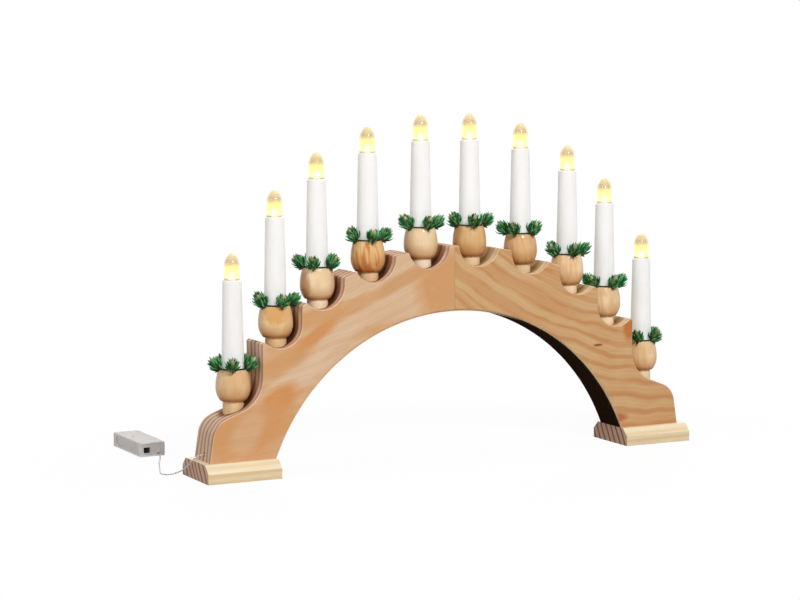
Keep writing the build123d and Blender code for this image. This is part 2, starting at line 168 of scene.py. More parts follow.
def spot(tree, centre, reach, turn=0.0):
    # 1 at the centre, falling to 0 at its reach, turned upward by degrees in the board's plane
    mapping = addNode(tree, "Mapping", vector_type="TEXTURE")
    mapping.inputs["Location"].default_value = centre
    mapping.inputs["Rotation"].default_value = (0, -math.radians(turn), 0)
    mapping.inputs["Scale"].default_value = reach
    tree.links.new(own(tree), mapping.inputs["Vector"])
    ball = addNode(tree, "TexGradient", gradient_type="SPHERICAL")
    tree.links.new(mapping.outputs["Vector"], ball.inputs["Vector"])
    return ball.outputs["Fac"]


def rising(tree, axis, low, high):
    # 0 below low, 1 above high, along one axis of the piece
    split = addNode(tree, "SeparateXYZ")
    tree.links.new(own(tree), split.inputs["Vector"])
    made = addNode(tree, "MapRange")
    made.inputs["From Min"].default_value = low
    made.inputs["From Max"].default_value = high
    tree.links.new(split.outputs[axis], made.inputs["Value"])
    return made.outputs["Result"]


def ramp(tree, factor, *stops):
    made = addNode(tree, "ValToRGB")
    band = made.color_ramp
    while len(band.elements) < len(stops):
        band.elements.new(0.5)
    for element, (position, colour) in zip(band.elements, stops):
        element.position = position
        element.color = colour
    tree.links.new(factor, made.inputs["Fac"])
    return made.outputs["Color"]


def between(tree, factor, low, high, top=1.0):
    # 0 up to low, then rising to top at high
    return ramp(tree, factor, (low, grey(0.0)), (high, grey(top)))


def mix(tree, factor, first, second, kind="MIX"):
    made = addNode(tree, "Mix", data_type="RGBA", blend_type=kind)
    for index, value in ((0, factor), (6, first), (7, second)):
        feed(tree, made.inputs[index], value)
    return made.outputs[2]


def facing(tree, axis, low, high):
    # 0 where the surface's own normal lies across the axis, 1 where it lies along it
    split = addNode(tree, "SeparateXYZ")
    tree.links.new(addNode(tree, "TexCoord").outputs["Normal"], split.inputs["Vector"])
    return between(tree, calculate(tree, "ABSOLUTE", split.outputs[axis]), low, high)


def bump(tree, shader, height, strength, distance):
    made = addNode(tree, "Bump")
    made.inputs["Strength"].default_value = strength
    made.inputs["Distance"].default_value = distance
    tree.links.new(height, made.inputs["Height"])
    tree.links.new(made.outputs["Normal"], shader.inputs["Normal"])


def readAttribute(tree, key):
    return addNode(tree, "Attribute", attribute_name=key).outputs["Fac"]


def dress(node, material):
    nodes[node].data.materials.clear()
    nodes[node].data.materials.append(material)


def gridFaces(rows, columns, start=0):
    # quads of a grid that closes on itself across its columns
    corner = np.arange((rows - 1) * columns).reshape(rows - 1, columns)
    beside = np.roll(corner, -1, axis=1)
    return np.stack([corner, beside, beside + columns, corner + columns], axis=-1).reshape(-1, 4) + start


def addPiece(name, points, faces, body, materials, faceSlots=None, attributes=None):
    mesh = bpy.data.meshes.new(name)
    mesh.from_pydata(points.tolist(), [], faces.tolist())
    for material in materials:
        mesh.materials.append(material)
    if faceSlots is not None:
        mesh.polygons.foreach_set("material_index", np.asarray(faceSlots, dtype=np.int32))
    mesh.polygons.foreach_set("use_smooth", np.ones(len(mesh.polygons), dtype=bool))
    for key, values in (attributes or {}).items():
        made = mesh.attributes.new(key, "FLOAT", "POINT")
        made.data.foreach_set("value", np.asarray(values, dtype=np.float32))
    mesh.update()
    piece = bpy.data.objects.new(name, mesh)
    bpy.context.scene.collection.objects.link(piece)
    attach(piece, body)
    return piece


# lead: two clear wires twisted about one smooth line, route in metres from the case to the leg
leadCord = {
    "route": (
        (-0.2350, 0.1317, 0.0022), (-0.2353, 0.1254, 0.0020), (-0.2376, 0.1180, 0.0011),
        (-0.2416, 0.1082, 0.0009), (-0.2474, 0.0954, 0.0009), (-0.2536, 0.0790, 0.0009),
        (-0.2602, 0.0604, 0.0009), (-0.2660, 0.0446, 0.0009), (-0.2684, 0.0364, 0.0009),
        (-0.2660, 0.0302, 0.0009), (-0.2600, 0.0278, 0.0016), (-0.2552, 0.0224, 0.0044),
        (-0.2542, 0.0136, 0.0084), (-0.2540, 0.0046, 0.0132), (-0.2524, -0.0014, 0.0184),
        (-0.2490, -0.0024, 0.0216), (-0.2442, -0.0020, 0.0226), (-0.2394, -0.0020, 0.0226),
    ),
    "strandRadius": 0.0004, "twist": 0.0046, "steps": 720, "sides": 8, "length": 0.1635,
    "dark": tone(150, 150, 152), "light": tone(216, 216, 218),
}


def smoothLine(route):
    # NURBS line with the route's points as its control points, read back as points
    curve = bpy.data.curves.new("route", "CURVE")
    curve.dimensions = "3D"
    curve.resolution_u = 16
    spline = curve.splines.new("NURBS")
    spline.points.add(len(route) - 1)
    spline.points.foreach_set("co", np.column_stack([route, np.ones(len(route))]).ravel())
    spline.order_u = 3
    spline.use_endpoint_u = True
    holder = bpy.data.objects.new("route", curve)
    mesh = bpy.data.meshes.new_from_object(holder)
    points = np.empty(len(mesh.vertices) * 3)
    mesh.vertices.foreach_get("co", points)
    bpy.data.objects.remove(holder)
    bpy.data.meshes.remove(mesh)
    bpy.data.curves.remove(curve)
    return points.reshape(-1, 3)


def evenly(points, count):
    # the same line as equal steps of its length
    run = np.concatenate([[0], np.cumsum(np.linalg.norm(np.diff(points, axis=0), axis=1))])
    steps = np.linspace(0, run[-1], count)
    return np.column_stack([np.interp(steps, run, points[:, axis]) for axis in range(3)]), steps


def unit(vectors):
    return vectors / np.linalg.norm(vectors, axis=-1, keepdims=True)


def manyTubes(lines, radii, sides):
    # a circle of the given radius carried along each of many lines: lines is (count, steps, 3)
    along = unit(np.gradient(lines, axis=1))
    helper = np.where(np.abs(along[..., 2:3]) < 0.9, np.array([0, 0, 1.0]), np.array([1.0, 0, 0]))
    side = unit(np.cross(along, helper))
    rise = np.cross(side, along)
    angle = np.arange(sides) * 2 * np.pi / sides
    ring = side[:, :, None] * np.cos(angle)[:, None] + rise[:, :, None] * np.sin(angle)[:, None]
    points = lines[:, :, None] + ring * np.broadcast_to(radii, lines.shape[:2])[..., None, None]
    count, steps = lines.shape[:2]
    faces = gridFaces(steps, sides)[None] + (np.arange(count) * steps * sides)[:, None, None]
    return points.reshape(-1, 3), faces.reshape(-1, 4)


def makeLead(size, material):
    centre, steps = evenly(smoothLine(size["route"]), size["steps"])
    along = unit(np.gradient(centre, axis=0))
    side = unit(np.cross(along, (0, 0, 1.0)))
    rise = np.cross(side, along)
    turn = 2 * np.pi * steps / size["twist"] + np.array([[0], [np.pi]])
    ring = side * np.cos(turn)[..., None] + rise * np.sin(turn)[..., None]
    strands = centre + size["strandRadius"] * ring
    radii = np.full(size["steps"], size["strandRadius"])
    radii[[0, -1]] = 0.0
    points, faces = manyTubes(strands, radii, size["sides"])
    lead = addPiece("leadCord", points, faces, "arch", [material])
    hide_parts("lead_cord")


def clearWire(look):
    material, tree, shader = newFinish("clearWire", 0.22)
    shader.inputs["Metallic"].default_value = 0.35
    shader.inputs["Coat Weight"].default_value = 0.6
    speckle = noise(tree, own(tree), 900.0)
    colour = ramp(tree, speckle, (0.35, look["dark"]), (0.65, look["light"]))
    tree.links.new(colour, shader.inputs["Base Color"])
    return material


wireFinish = clearWire(leadCord)
makeLead(leadCord, wireFinish)
dress("wire_harness", wireFinish)
print("lead laid")


# pine boards of the arch: the left one pale with soft patches, the right one with bent grain lines
leftBoard = {
    "name": "archPineLeft", "slope": -0.62, "bow": -1.3, "along": 0.22, "waver": 0.012, "waverScale": 20.0,
    "ragged": 0.45, "fade": (0.35, 0.65), "broadShare": 0.12,
    # the two seat tones are the painted shade round the cups: half shade, then the darkest
    "seatPaintedHalfShade": (0.66, 0.50, 0.41, 1.0), "seatPaintedShade": (0.14, 0.08, 0.05, 1.0),
    "pale": tone(218, 184, 150), "warm": tone(212, 161, 111), "line": tone(203, 154, 110),
    "patchScale": 46.0, "patchLow": 0.50, "patchHigh": 0.63,
    "period": 0.012, "warp": 9.0, "warpScale": 0.30, "lineShare": 0.26, "fineShare": 0.10,
    "edgeLine": tone(194, 150, 124), "edgePale": tone(236, 204, 178), "candles": candleNumbers[:5],
    "marks": (
        (tone(209, 156, 106), (-0.0140, 0, 0.1660), (0.034, 1, 0.050), 1.0, 0),
        (tone(212, 156, 104), (-0.1720, 0, 0.1030), (0.044, 1, 0.015), 0.9, 24),
        (tone(211, 146, 88), (-0.1378, 0, 0.1261), (0.036, 1, 0.009), 0.9, 33),
        (tone(211, 157, 108), (-0.1051, 0, 0.1472), (0.030, 1, 0.008), 0.6, 32),
        (tone(204, 156, 110), (-0.0541, 0, 0.1700), (0.044, 1, 0.009), 0.9, 24),
        (tone(222, 192, 162), (-0.1240, 0, 0.1140), (0.050, 1, 0.014), 0.8, 38),
        (tone(213, 154, 100), (-0.2140, 0, 0.0420), (0.060, 1, 0.050), 0.9, 0),
        (tone(224, 194, 164), (-0.1650, 0, 0.0845), (0.050, 1, 0.012), 1.0, 26),
        (tone(213, 148, 92), (-0.1774, 0, 0.0690), (0.030, 1, 0.015), 1.0, 28),
        (tone(214, 155, 102), (-0.1850, 0, 0.0500), (0.030, 1, 0.013), 0.8, 70),
        (tone(220, 182, 146), (-0.2080, 0, 0.0400), (0.036, 1, 0.018), 0.6, 60),
    ),
}
rightBoard = {
    "name": "archPineRight", "slope": 0.80, "bow": -1.75, "along": 0.30, "waver": 0.018, "waverScale": 20.0,
    "ragged": 0.0, "fade": (0.22, 0.52), "broadShare": 0.50,
    # the two seat tones are the painted shade round the cups: half shade, then the darkest
    "seatPaintedHalfShade": (0.86, 0.74, 0.60, 1.0), "seatPaintedShade": (0.36, 0.25, 0.16, 1.0),
    "pale": tone(209, 172, 126), "warm": tone(206, 160, 113), "line": tone(192, 132, 82),
    "patchScale": 46.0, "patchLow": 0.40, "patchHigh": 0.62,
    "period": 0.0125, "warp": 8.0, "warpScale": 0.36, "lineShare": 0.72, "fineShare": 0.18,
    "edgeLine": tone(216, 188, 150), "edgePale": tone(232, 210, 174), "candles": candleNumbers[5:],
    "marks": (
        (tone(146, 84, 48), (0.1535, 0, 0.0976), (0.0065, 1, 0.0017), 1.0, 0),
        (tone(186, 104, 66), (0.1760, 0, 0.0262), (0.014, 1, 0.0055), 0.9, 0),
        (tone(190, 118, 66), (0.1885, 0, 0.1120), (0.009, 1, 0.016), 1.0, 0),
    ),
}


# what both boards share: places are shares of a noise or band, periods and shifts in metres
boardWood = {
    "rough": 0.46, "specular": 0.0, "bump": (0.08, 0.0004),
    # the seat keys place and grade the painted shade round each cup
    "seatReach": (0.0235, 0.0180, 0.030), "seatLift": 0.020, "seatHalf": 0.10, "seatFull": 0.28,
    "ragTurn": (0, 30, 0), "ragStretch": (0.6, 1, 1.4), "ragScale": 62.0, "ragDetail": 3.0,
    "markStart": 0.6, "markRise": 0.5,
    "fadeTurn": (0, 35, 0), "fadeStretch": (0.4, 1, 1), "fadeScale": 34.0,
    "lineBand": (0.45, 1.0), "broadBand": (0.45, 0.95), "fineBand": (0.4, 1.0),
    "broadPeriod": 2.0, "broadWarp": 0.6, "broadEnds": (0.15, 0.05), "finer": 3.3,
    "fibreAlong": 0.06, "fibreScale": 900.0, "fibreTones": ((0.3, grey(0.965)), (0.7, grey(1.02))),
    "layerShift": (0, 0.0012, 0), "layerPeriod": 0.0078, "layerWarp": 2.6, "layerWarpScale": 0.9,
    "layerStops": (0.06, 0.60), "faceTurn": (0.55, 0.9),
    "seamReach": (0.0012, 100, 100), "seamTones": ((0.5, grey(1.0)), (0.9, grey(0.82))),
}


def seatPaintedShade(tree, look, wood):
    # painted shade: the sawn edges are darkened round each cup, a painted contact shadow of cup and neck in
    # the notch
    deepest = 0.0
    for number in look["candles"]:
        low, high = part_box("candle_cup_" + number)
        dark = spot(tree, ((low.x + high.x) / 2, 0, low.z + wood["seatLift"]), wood["seatReach"])
        deepest = calculate(tree, "MAXIMUM", deepest, dark)
    return ramp(tree, deepest, (0.0, grey(1.0)), (wood["seatHalf"], look["seatPaintedHalfShade"]),
                (wood["seatFull"], look["seatPaintedShade"]))


def archPine(look, wood):
    material, tree, shader = newFinish(look["name"], wood["rough"])
    grain = bentGrain(tree, look["slope"], look["bow"], look["along"], look["waver"], look["waverScale"])
    patches = between(tree, noise(tree, grain, look["patchScale"]), look["patchLow"], look["patchHigh"])
    face = mix(tree, patches, look["pale"], look["warm"])
    rag = noise(tree, place(tree, wood["ragTurn"], wood["ragStretch"]), wood["ragScale"], wood["ragDetail"])
    start = wood["markStart"] * look["ragged"]
    for colour, centre, reach, share, turn in look["marks"]:
        mark = calculate(tree, "MULTIPLY_ADD", rag, look["ragged"], spot(tree, centre, reach, turn))
        face = mix(tree, between(tree, mark, start, start + wood["markRise"], share), face, colour)
    # growth lines that fade in and out
    growth = bands(tree, grain, look["period"], look["warp"], look["warpScale"])
    lines = between(tree, growth, *wood["lineBand"], look["lineShare"])
    faded = noise(tree, place(tree, wood["fadeTurn"], wood["fadeStretch"]), wood["fadeScale"])
    lines = mix(tree, 1.0, lines, between(tree, faded, *look["fade"]), "MULTIPLY")
    face = mix(tree, lines, face, look["line"])
    # broad bands, except towards the right end
    broad = bands(tree, grain, wood["broadPeriod"] * look["period"], wood["broadWarp"] * look["warp"],
                  wood["broadWarp"] * look["warpScale"])
    broad = between(tree, broad, *wood["broadBand"], look["broadShare"])
    broad = mix(tree, 1.0, broad, rising(tree, "X", *wood["broadEnds"]), "MULTIPLY")
    face = mix(tree, broad, face, look["line"])
    fine = bands(tree, grain, look["period"] / wood["finer"], look["warp"], look["warpScale"] / wood["finer"])
    face = mix(tree, between(tree, fine, *wood["fineBand"], look["fineShare"]), face, look["line"])
    fibre = noise(tree, bentGrain(tree, look["slope"], look["bow"], wood["fibreAlong"]), wood["fibreScale"])
    fibreTone = ramp(tree, fibre, *wood["fibreTones"])
    face = mix(tree, 1.0, face, fibreTone, "MULTIPLY")
    # sawn edges show the board's layers as stripes along it
    layers = bands(tree, place(tree, shift=wood["layerShift"]), wood["layerPeriod"], wood["layerWarp"],
                   wood["layerWarpScale"], "Y")
    lowStop, highStop = wood["layerStops"]
    edge = ramp(tree, layers, (lowStop, look["edgeLine"]), (highStop, look["edgePale"]))
    # painted shade round each cup on the sawn edges
    edge = mix(tree, 1.0, edge, seatPaintedShade(tree, look, wood), "MULTIPLY")
    edge = mix(tree, 1.0, edge, fibreTone, "MULTIPLY")
    whole = mix(tree, facing(tree, "Y", *wood["faceTurn"]), edge, face)
    # a thin dark line where the boards meet
    seam = ramp(tree, spot(tree, (0, 0, 0), wood["seamReach"]), *wood["seamTones"])
    tree.links.new(mix(tree, 1.0, whole, seam, "MULTIPLY"), shader.inputs["Base Color"])
    shader.inputs["Specular IOR Level"].default_value = wood["specular"]
    bump(tree, shader, fibre, *wood["bump"])
    return material


dress("arch_left", archPine(leftBoard, boardWood))
dress("arch_right", archPine(rightBoard, boardWood))


# pale pine of the feet, with slanted rings on the sawn ends
footLook = {
    # front darkens the front faces: partly the wood's tone, partly painted shade
    "pale": tone(237, 222, 190), "warm": tone(230, 205, 165), "front": (0.93, 0.87, 0.79, 1.0),
    "period": 0.0064, "endTurn": (27.0, 0, 0), "endPeriod": 0.0078,
    # rightEnd is darker than leftEnd as painted shade under the arch
    "leftEnd": (tone(216, 170, 138), tone(108, 72, 54)), "rightEnd": (tone(204, 158, 128), tone(92, 60, 46)),
}


def footPine(name, look, endPale, endDark):
    material, tree, shader = newFinish(name, 0.5)
    straight = bands(tree, place(tree, (0, 0.6, 1.2), (0.1, 1, 1)), look["period"], 2.0, 0.4)
    long = ramp(tree, straight, (0.15, look["pale"]), (1.0, look["warm"]))
    rings = bands(tree, place(tree, look["endTurn"]), look["endPeriod"], 3.0, 0.8, "Y")
    endTone = ramp(tree, rings, (0.04, endDark), (0.40, endPale))
    fibre = noise(tree, place(tree, stretch=(0.04, 1, 1)), 900.0)
    # the front faces are painted darker and warmer: partly the wood's tone, partly painted shade on faces
    # turned from the top light
    long = mix(tree, facing(tree, "Y", 0.85, 0.97), long, mix(tree, 1.0, long, look["front"], "MULTIPLY"))
    whole = mix(tree, facing(tree, "X", 0.5, 0.8), long, endTone)
    fibreTone = ramp(tree, fibre, (0.3, grey(0.95)), (0.7, grey(1.03)))
    tree.links.new(mix(tree, 1.0, whole, fibreTone, "MULTIPLY"), shader.inputs["Base Color"])
    shader.inputs["Specular IOR Level"].default_value = 0.3
    bump(tree, shader, fibre, 0.10, 0.0004)
    return material


# the right foot's sawn ends are painted a little darker than the left's, as painted shade under the arch
leftFoot = footPine("footPineLeft", footLook, *footLook["leftEnd"])
rightFoot = footPine("footPineRight", footLook, *footLook["rightEnd"])
dress("foot_left", leftFoot)
dress("foot_right", rightFoot)
dress("crown_dowels", leftFoot)


# lacquered turned cups, grain upright: each row has the ground, the patch colour
# and the shares of patches, stripes and pale neck
cupLooks = (
    (tone(235, 203, 158), tone(216, 166, 110), 0.5, 0.30, 0.05),
    (tone(233, 203, 158), tone(222, 170, 104), 0.4, 0.10, 0.05),
    (tone(240, 213, 174), tone(214, 168, 118), 0.4, 0.12, 0.6),
    (tone(230, 188, 130), tone(198, 124, 58), 0.3, 0.95, 0.25),
    (tone(235, 208, 168), tone(216, 170, 114), 0.4, 0.10, 0.8),
    (tone(222, 180, 126), tone(206, 152, 92), 0.5, 0.40, 0.45),
    (tone(222, 180, 128), tone(202, 148, 92), 0.3, 0.55, 0.45),
    (tone(243, 212, 168), tone(208, 152, 94), 0.25, 0.45, 0.6),
    (tone(243, 215, 172), tone(210, 158, 102), 0.3, 0.40, 0.6),
    (tone(243, 212, 168), tone(212, 160, 102), 0.35, 0.35, 0.5),
)


# patches seen on single cups: colour, place from the foot of the cup's axis, reach; the brown mark on cup
# 03's left side is painted shade
cupPatchesAndShade = {
    "02": (tone(216, 150, 70), (-0.0060, -0.0130, 0.0345), (0.0150, 0.0150, 0.0120)),
    # painted shade: a brown left edge on cup 03
    "03": (tone(188, 128, 76), (-0.0158, -0.0040, 0.0240), (0.0070, 0.0120, 0.0180)),
}
cupWood = {
    "rough": 0.42, "specular": 0.05, "coat": 0.35, "coatRough": 0.09, "coatIor": 1.5, "bump": (0.03, 0.0003),
    "streakTurn": (3.0, 5.0, 0), "streakStretch": (1, 1, 0.10), "streakScale": 240.0, "streakWarp": 0.3,
    "streakBand": (0.48, 0.66),
    "patchStretch": (1, 1, 0.7), "patchScale": 58.0, "patchDetail": 1.0, "patchBand": (0.46, 0.60),
    "fineTurn": (2.0, 4.0, 0), "fineStretch": (1, 1, 0.06), "fineScale": 620.0,
    "fineTones": ((0.3, (0.96, 0.93, 0.89, 1.0)), (0.7, grey(1.0))),
    "markStretch": (1, 1, 0.6), "markScale": 190.0, "ragged": 0.8,
    "markBand": (0.50, 0.85), "markShare": 0.75,
    # neck is the painted-paler neck tone; shadeEnds and shadeTones grade the painted shade under the ball
    "neck": tone(254, 236, 206), "ballFoot": 0.0128, "neckEdge": (0.0012, 0.0006),
    "shadeEnds": (0.000725, 0.0145),
    "shadeTones": ((0.02, grey(1.0)), (0.06, (0.44, 0.26, 0.15, 1.0)), (0.30, (0.82, 0.67, 0.53, 1.0)),
                   (1.0, grey(1.0))),
}


def cupPine(wood, number, pale, warm, patchShare, stripeShare, neckShare):
    material, tree, shader = newFinish("cupPine" + number, wood["rough"])
    upright = place(tree, wood["streakTurn"], wood["streakStretch"])
    streaks = noise(tree, upright, wood["streakScale"], warp=wood["streakWarp"])
    patches = noise(tree, place(tree, stretch=wood["patchStretch"]), wood["patchScale"], wood["patchDetail"])
    colour = mix(tree, between(tree, patches, *wood["patchBand"], patchShare), pale, warm)
    colour = mix(tree, between(tree, streaks, *wood["streakBand"], stripeShare), colour, warm)
    fine = noise(tree, place(tree, wood["fineTurn"], wood["fineStretch"]), wood["fineScale"])
    colour = mix(tree, 1.0, colour, ramp(tree, fine, *wood["fineTones"]), "MULTIPLY")
    cupLow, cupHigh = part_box("candle_cup_" + number)
    # cup 02 gets a patch of its own colour, cup 03 painted shade on its left side
    if number in cupPatchesAndShade:
        markTone, offset, reach = cupPatchesAndShade[number]
        middle = ((cupLow.x + cupHigh.x) / 2, (cupLow.y + cupHigh.y) / 2, cupLow.z)
        centre = [start + step for start, step in zip(middle, offset)]
        rag = noise(tree, place(tree, stretch=wood["markStretch"]), wood["markScale"])
        mark = calculate(tree, "MULTIPLY_ADD", rag, wood["ragged"], spot(tree, centre, reach))
        colour = mix(tree, between(tree, mark, *wood["markBand"], wood["markShare"]), colour, markTone)
    # painted shade: the ball is darkened where it turns in above the neck; the neck is painted paler, partly
    # its own tone and partly painted light against that shade
    foot = cupLow.z + wood["ballFoot"]
    neckLow, neckHigh = wood["neckEdge"]
    neckPale = mix(tree, neckShare, colour, wood["neck"])
    colour = mix(tree, rising(tree, "Z", foot - neckLow, foot - neckHigh), neckPale, colour)
    below, above = wood["shadeEnds"]
    shade = ramp(tree, rising(tree, "Z", foot - below, foot + above), *wood["shadeTones"])
    tree.links.new(mix(tree, 1.0, colour, shade, "MULTIPLY"), shader.inputs["Base Color"])
    shader.inputs["Specular IOR Level"].default_value = wood["specular"]
    shader.inputs["Coat Weight"].default_value = wood["coat"]
    shader.inputs["Coat Roughness"].default_value = wood["coatRough"]
    shader.inputs["Coat IOR"].default_value = wood["coatIor"]
    bump(tree, shader, streaks, *wood["bump"])
    return material


# white satin plastic sleeves
def sleeveWhite():
    material, tree, shader = newFinish("sleeveWhite", 0.4)
    cloud = noise(tree, place(tree, stretch=(1, 1, 0.2)), 160.0)
    colour = ramp(tree, cloud, (0.3, tone(219, 217, 215)), (0.7, tone(223, 222, 221)))
    tree.links.new(colour, shader.inputs["Base Color"])
    shader.inputs["Specular IOR Level"].default_value = 0.3
    shader.inputs["Subsurface Weight"].default_value = 0.3
    shader.inputs["Subsurface Radius"].default_value = (1.0, 0.95, 0.9)
    shader.inputs["Subsurface Scale"].default_value = 0.002
    # painted light: a faint glow lifts the whole sleeve evenly and flattens its shading
    shader.inputs["Emission Color"].default_value = tone(255, 251, 246)
    shader.inputs["Emission Strength"].default_value = 0.20
    bump(tree, shader, cloud, 0.03, 0.0003)
    return material


sleeveFinish = sleeveWhite()
for number, look in zip(candleNumbers, cupLooks):
    dress("candle_cup_" + number, cupPine(cupWood, number, *look))
    dress("candle_sleeve_" + number, sleeveFinish)
dress("led_carriers", sleeveFinish)


# small plain finishes
def plainFinish(name, first, second, scale, rough, metal=0.0):
    material, tree, shader = newFinish(name, rough)
    cloud = noise(tree, own(tree), scale)
    tree.links.new(ramp(tree, cloud, (0.35, first), (0.65, second)), shader.inputs["Base Color"])
    shader.inputs["Metallic"].default_value = metal
    shader.inputs["Specular IOR Level"].default_value = 0.2
    bump(tree, shader, cloud, 0.05, 0.0003)
    return material


def coverStrip(dark, rim):
    # dark film below, partly its own colour and partly painted shade of the underside; the pine of its edges
    # shows along the rims, painted paler against the shade of the crevice beside them, and turning dark
    # towards the right leg as painted shade
    material, tree, shader = newFinish("coverStrip", 0.6)
    cloud = noise(tree, own(tree), 300.0)
    film = mix(tree, 1.0, dark, ramp(tree, cloud, (0.35, grey(0.8)), (0.65, grey(1.2))), "MULTIPLY")
    # painted shade: the rims turn dark from x 0.03 to 0.07 m, towards the right leg
    rimTone = mix(tree, rising(tree, "X", 0.03, 0.07), rim, dark)
    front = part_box("channel_cover")[0].y
    film = mix(tree, rising(tree, "Y", front + 0.0012, front + 0.0018), rimTone, film)
    tree.links.new(mix(tree, facing(tree, "Y", 0.5, 0.9), film, rimTone), shader.inputs["Base Color"])
    shader.inputs["Specular IOR Level"].default_value = 0.0
    return material


# the rim tone is pine painted paler against the crevice shade
coverFinish = coverStrip(tone(40, 27, 18), tone(240, 200, 160))
blackFinish = plainFinish("switchBlack", tone(16, 15, 15), tone(26, 25, 25), 700.0, 0.5)
steelFinish = plainFinish("zincSteel", tone(176, 176, 174), tone(202, 202, 200), 900.0, 0.35, 1.0)
cellFinish = plainFinish("cellJacket", tone(150, 148, 146), tone(166, 164, 162), 300.0, 0.4)
dress("channel_cover", coverFinish)
dress("switch_body", blackFinish)
dress("switch_slider", blackFinish)
dress("contact_plates", steelFinish)
dress("foot_screws", steelFinish)
dress("battery_cells", cellFinish)


# translucent grey battery case
def caseClear():
    material, tree, shader = newFinish("caseClear", 0.24)
    cloud = noise(tree, own(tree), 120.0)
    colour = ramp(tree, cloud, (0.3, tone(216, 210, 205)), (0.7, tone(230, 225, 221)))
    tree.links.new(colour, shader.inputs["Base Color"])
    shader.inputs["Transmission Weight"].default_value = 0.30
    shader.inputs["IOR"].default_value = 1.49
    bump(tree, shader, cloud, 0.04, 0.0004)
    return material


caseFinish = caseClear()
dress("battery_case", caseFinish)
dress("battery_lid", caseFinish)
print("frame pieces dressed")


# flame lenses: a clear bullet over a core that glows low down, both turned about the candle's axis
flameLens = {
    "radius": 0.00715, "straight": 0.0136, "height": 0.0237, "taper": 1.6, "rows": 40, "sides": 64,
    "coreRadius": 0.0057, "coreStraight": 0.0128, "coreHeight": 0.0222, "coreLift": 0.0003,
}


def turnedShell(axis, base, heights, radii, sides):
    # radius as a function of height, turned about an upright axis
    angle = np.arange(sides) * 2 * np.pi / sides
    x = axis[0] + radii[:, None] * np.cos(angle)
    y = axis[1] + radii[:, None] * np.sin(angle)
    z = np.repeat((base + heights)[:, None], sides, axis=1)
    return np.stack([x, y, z], axis=-1).reshape(-1, 3)


def bulletProfile(radius, straight, height, taper, rows):
    # straight up to a height, then the radius falls as (1 - t^taper)^(1/taper)
    rise = np.concatenate([[0, 0], np.linspace(0, straight, rows // 3)[1:],
                           straight + (height - straight) * np.sin(np.linspace(0, np.pi / 2, rows))[1:]])
    share = np.clip((rise - straight) / (height - straight), 0, 1)
    radii = radius * (1 - share**taper) ** (1 / taper)
    radii[0] = 0.0
    return rise, radii


# colours, glow and cover of lens and core by height, as shares of the lens
lensLook = {
    "rough": 0.06, "ior": 1.49, "waver": 0.0, "waverScale": 260.0,
    "Base Color": ((0.0, tone(190, 166, 110)), (0.10, tone(250, 240, 180)), (0.55, tone(226, 206, 160)),
                   (1.0, tone(236, 220, 150))),
    "Emission Color": ((0.03, tone(80, 66, 30)), (0.12, tone(230, 200, 72)), (0.40, tone(234, 206, 80)),
                       (0.62, tone(96, 80, 34)), (0.90, tone(120, 106, 44))),
    "Alpha": ((0.0, grey(0.75)), (0.10, grey(0.36)), (0.50, grey(0.36)), (0.62, grey(0.30)),
              (0.95, grey(0.6))),
}
coreLook = {
    "rough": 0.3, "ior": 1.5, "waver": 0.16, "waverScale": 260.0,
    # the core's base colour grows paler towards the tip: partly the lens's pale top, partly a painted
    # highlight
    "Base Color": ((0.58, tone(120, 110, 60)), (0.74, tone(176, 143, 126)), (0.88, tone(196, 180, 170))),
    "Emission Color": ((0.10, tone(255, 247, 208)), (0.28, tone(255, 243, 150)), (0.50, tone(255, 243, 125)),
                       (0.58, tone(246, 224, 130)), (0.74, tone(80, 58, 52)), (0.88, tone(88, 74, 66)),
                       (1.0, tone(116, 102, 66))),
    "Alpha": ((0.10, grey(0.25)), (0.30, grey(0.40)), (0.52, grey(0.58)), (0.72, grey(0.60)),
              (0.95, grey(0.45))),
}


def flameFinish(name, look):
    material, tree, shader = newFinish(name, look["rough"])
    waver = noise(tree, own(tree), look["waverScale"], 1.0)
    up = calculate(tree, "MULTIPLY_ADD", waver, look["waver"], readAttribute(tree, "rise"))
    for socket in ("Base Color", "Emission Color", "Alpha"):
        tree.links.new(ramp(tree, up, *look[socket]), shader.inputs[socket])
    shader.inputs["Emission Strength"].default_value = 1.0
    shader.inputs["IOR"].default_value = look["ior"]
    return material


def lampLit():
    material, tree, shader = newFinish("lampLit", 0.3)
    cloud = noise(tree, own(tree), 400.0)
    glow = ramp(tree, cloud, (0.3, tone(255, 250, 232)), (0.7, tone(255, 253, 240)))
    tree.links.new(glow, shader.inputs["Emission Color"])
    shader.inputs["Emission Strength"].default_value = 1.3
    return material


def makeFlames(size):
    clear, glow = flameFinish("flameClear", lensLook), flameFinish("flameGlow", coreLook)
    shape = (size["taper"], size["rows"])
    rise, radii = bulletProfile(size["radius"], size["straight"], size["height"], *shape)
    coreRise, coreRadii = bulletProfile(size["coreRadius"], size["coreStraight"], size["coreHeight"], *shape)
    faces = gridFaces(len(rise), size["sides"])
    height = np.repeat(rise / size["height"], size["sides"])
    coreHeight = np.repeat(coreRise / size["height"], size["sides"])
    for number in candleNumbers:
        sleeveLow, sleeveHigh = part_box("candle_sleeve_" + number)
        axis = (sleeveLow + sleeveHigh) / 2
        points = turnedShell(axis, sleeveHigh.z, rise, radii, size["sides"])
        lens = addPiece("flameLens" + number, points, faces, "arch", [clear],
                        attributes={"rise": height})
        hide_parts("flame_lens_" + number)
        points = turnedShell(axis, sleeveHigh.z + size["coreLift"], coreRise, coreRadii, size["sides"])
        addPiece("flameGlow" + number, points, faces, "arch", [glow],
                 attributes={"rise": coreHeight})


makeFlames(flameLens)
dress("led_lamps", lampLit())
print("flames lit")


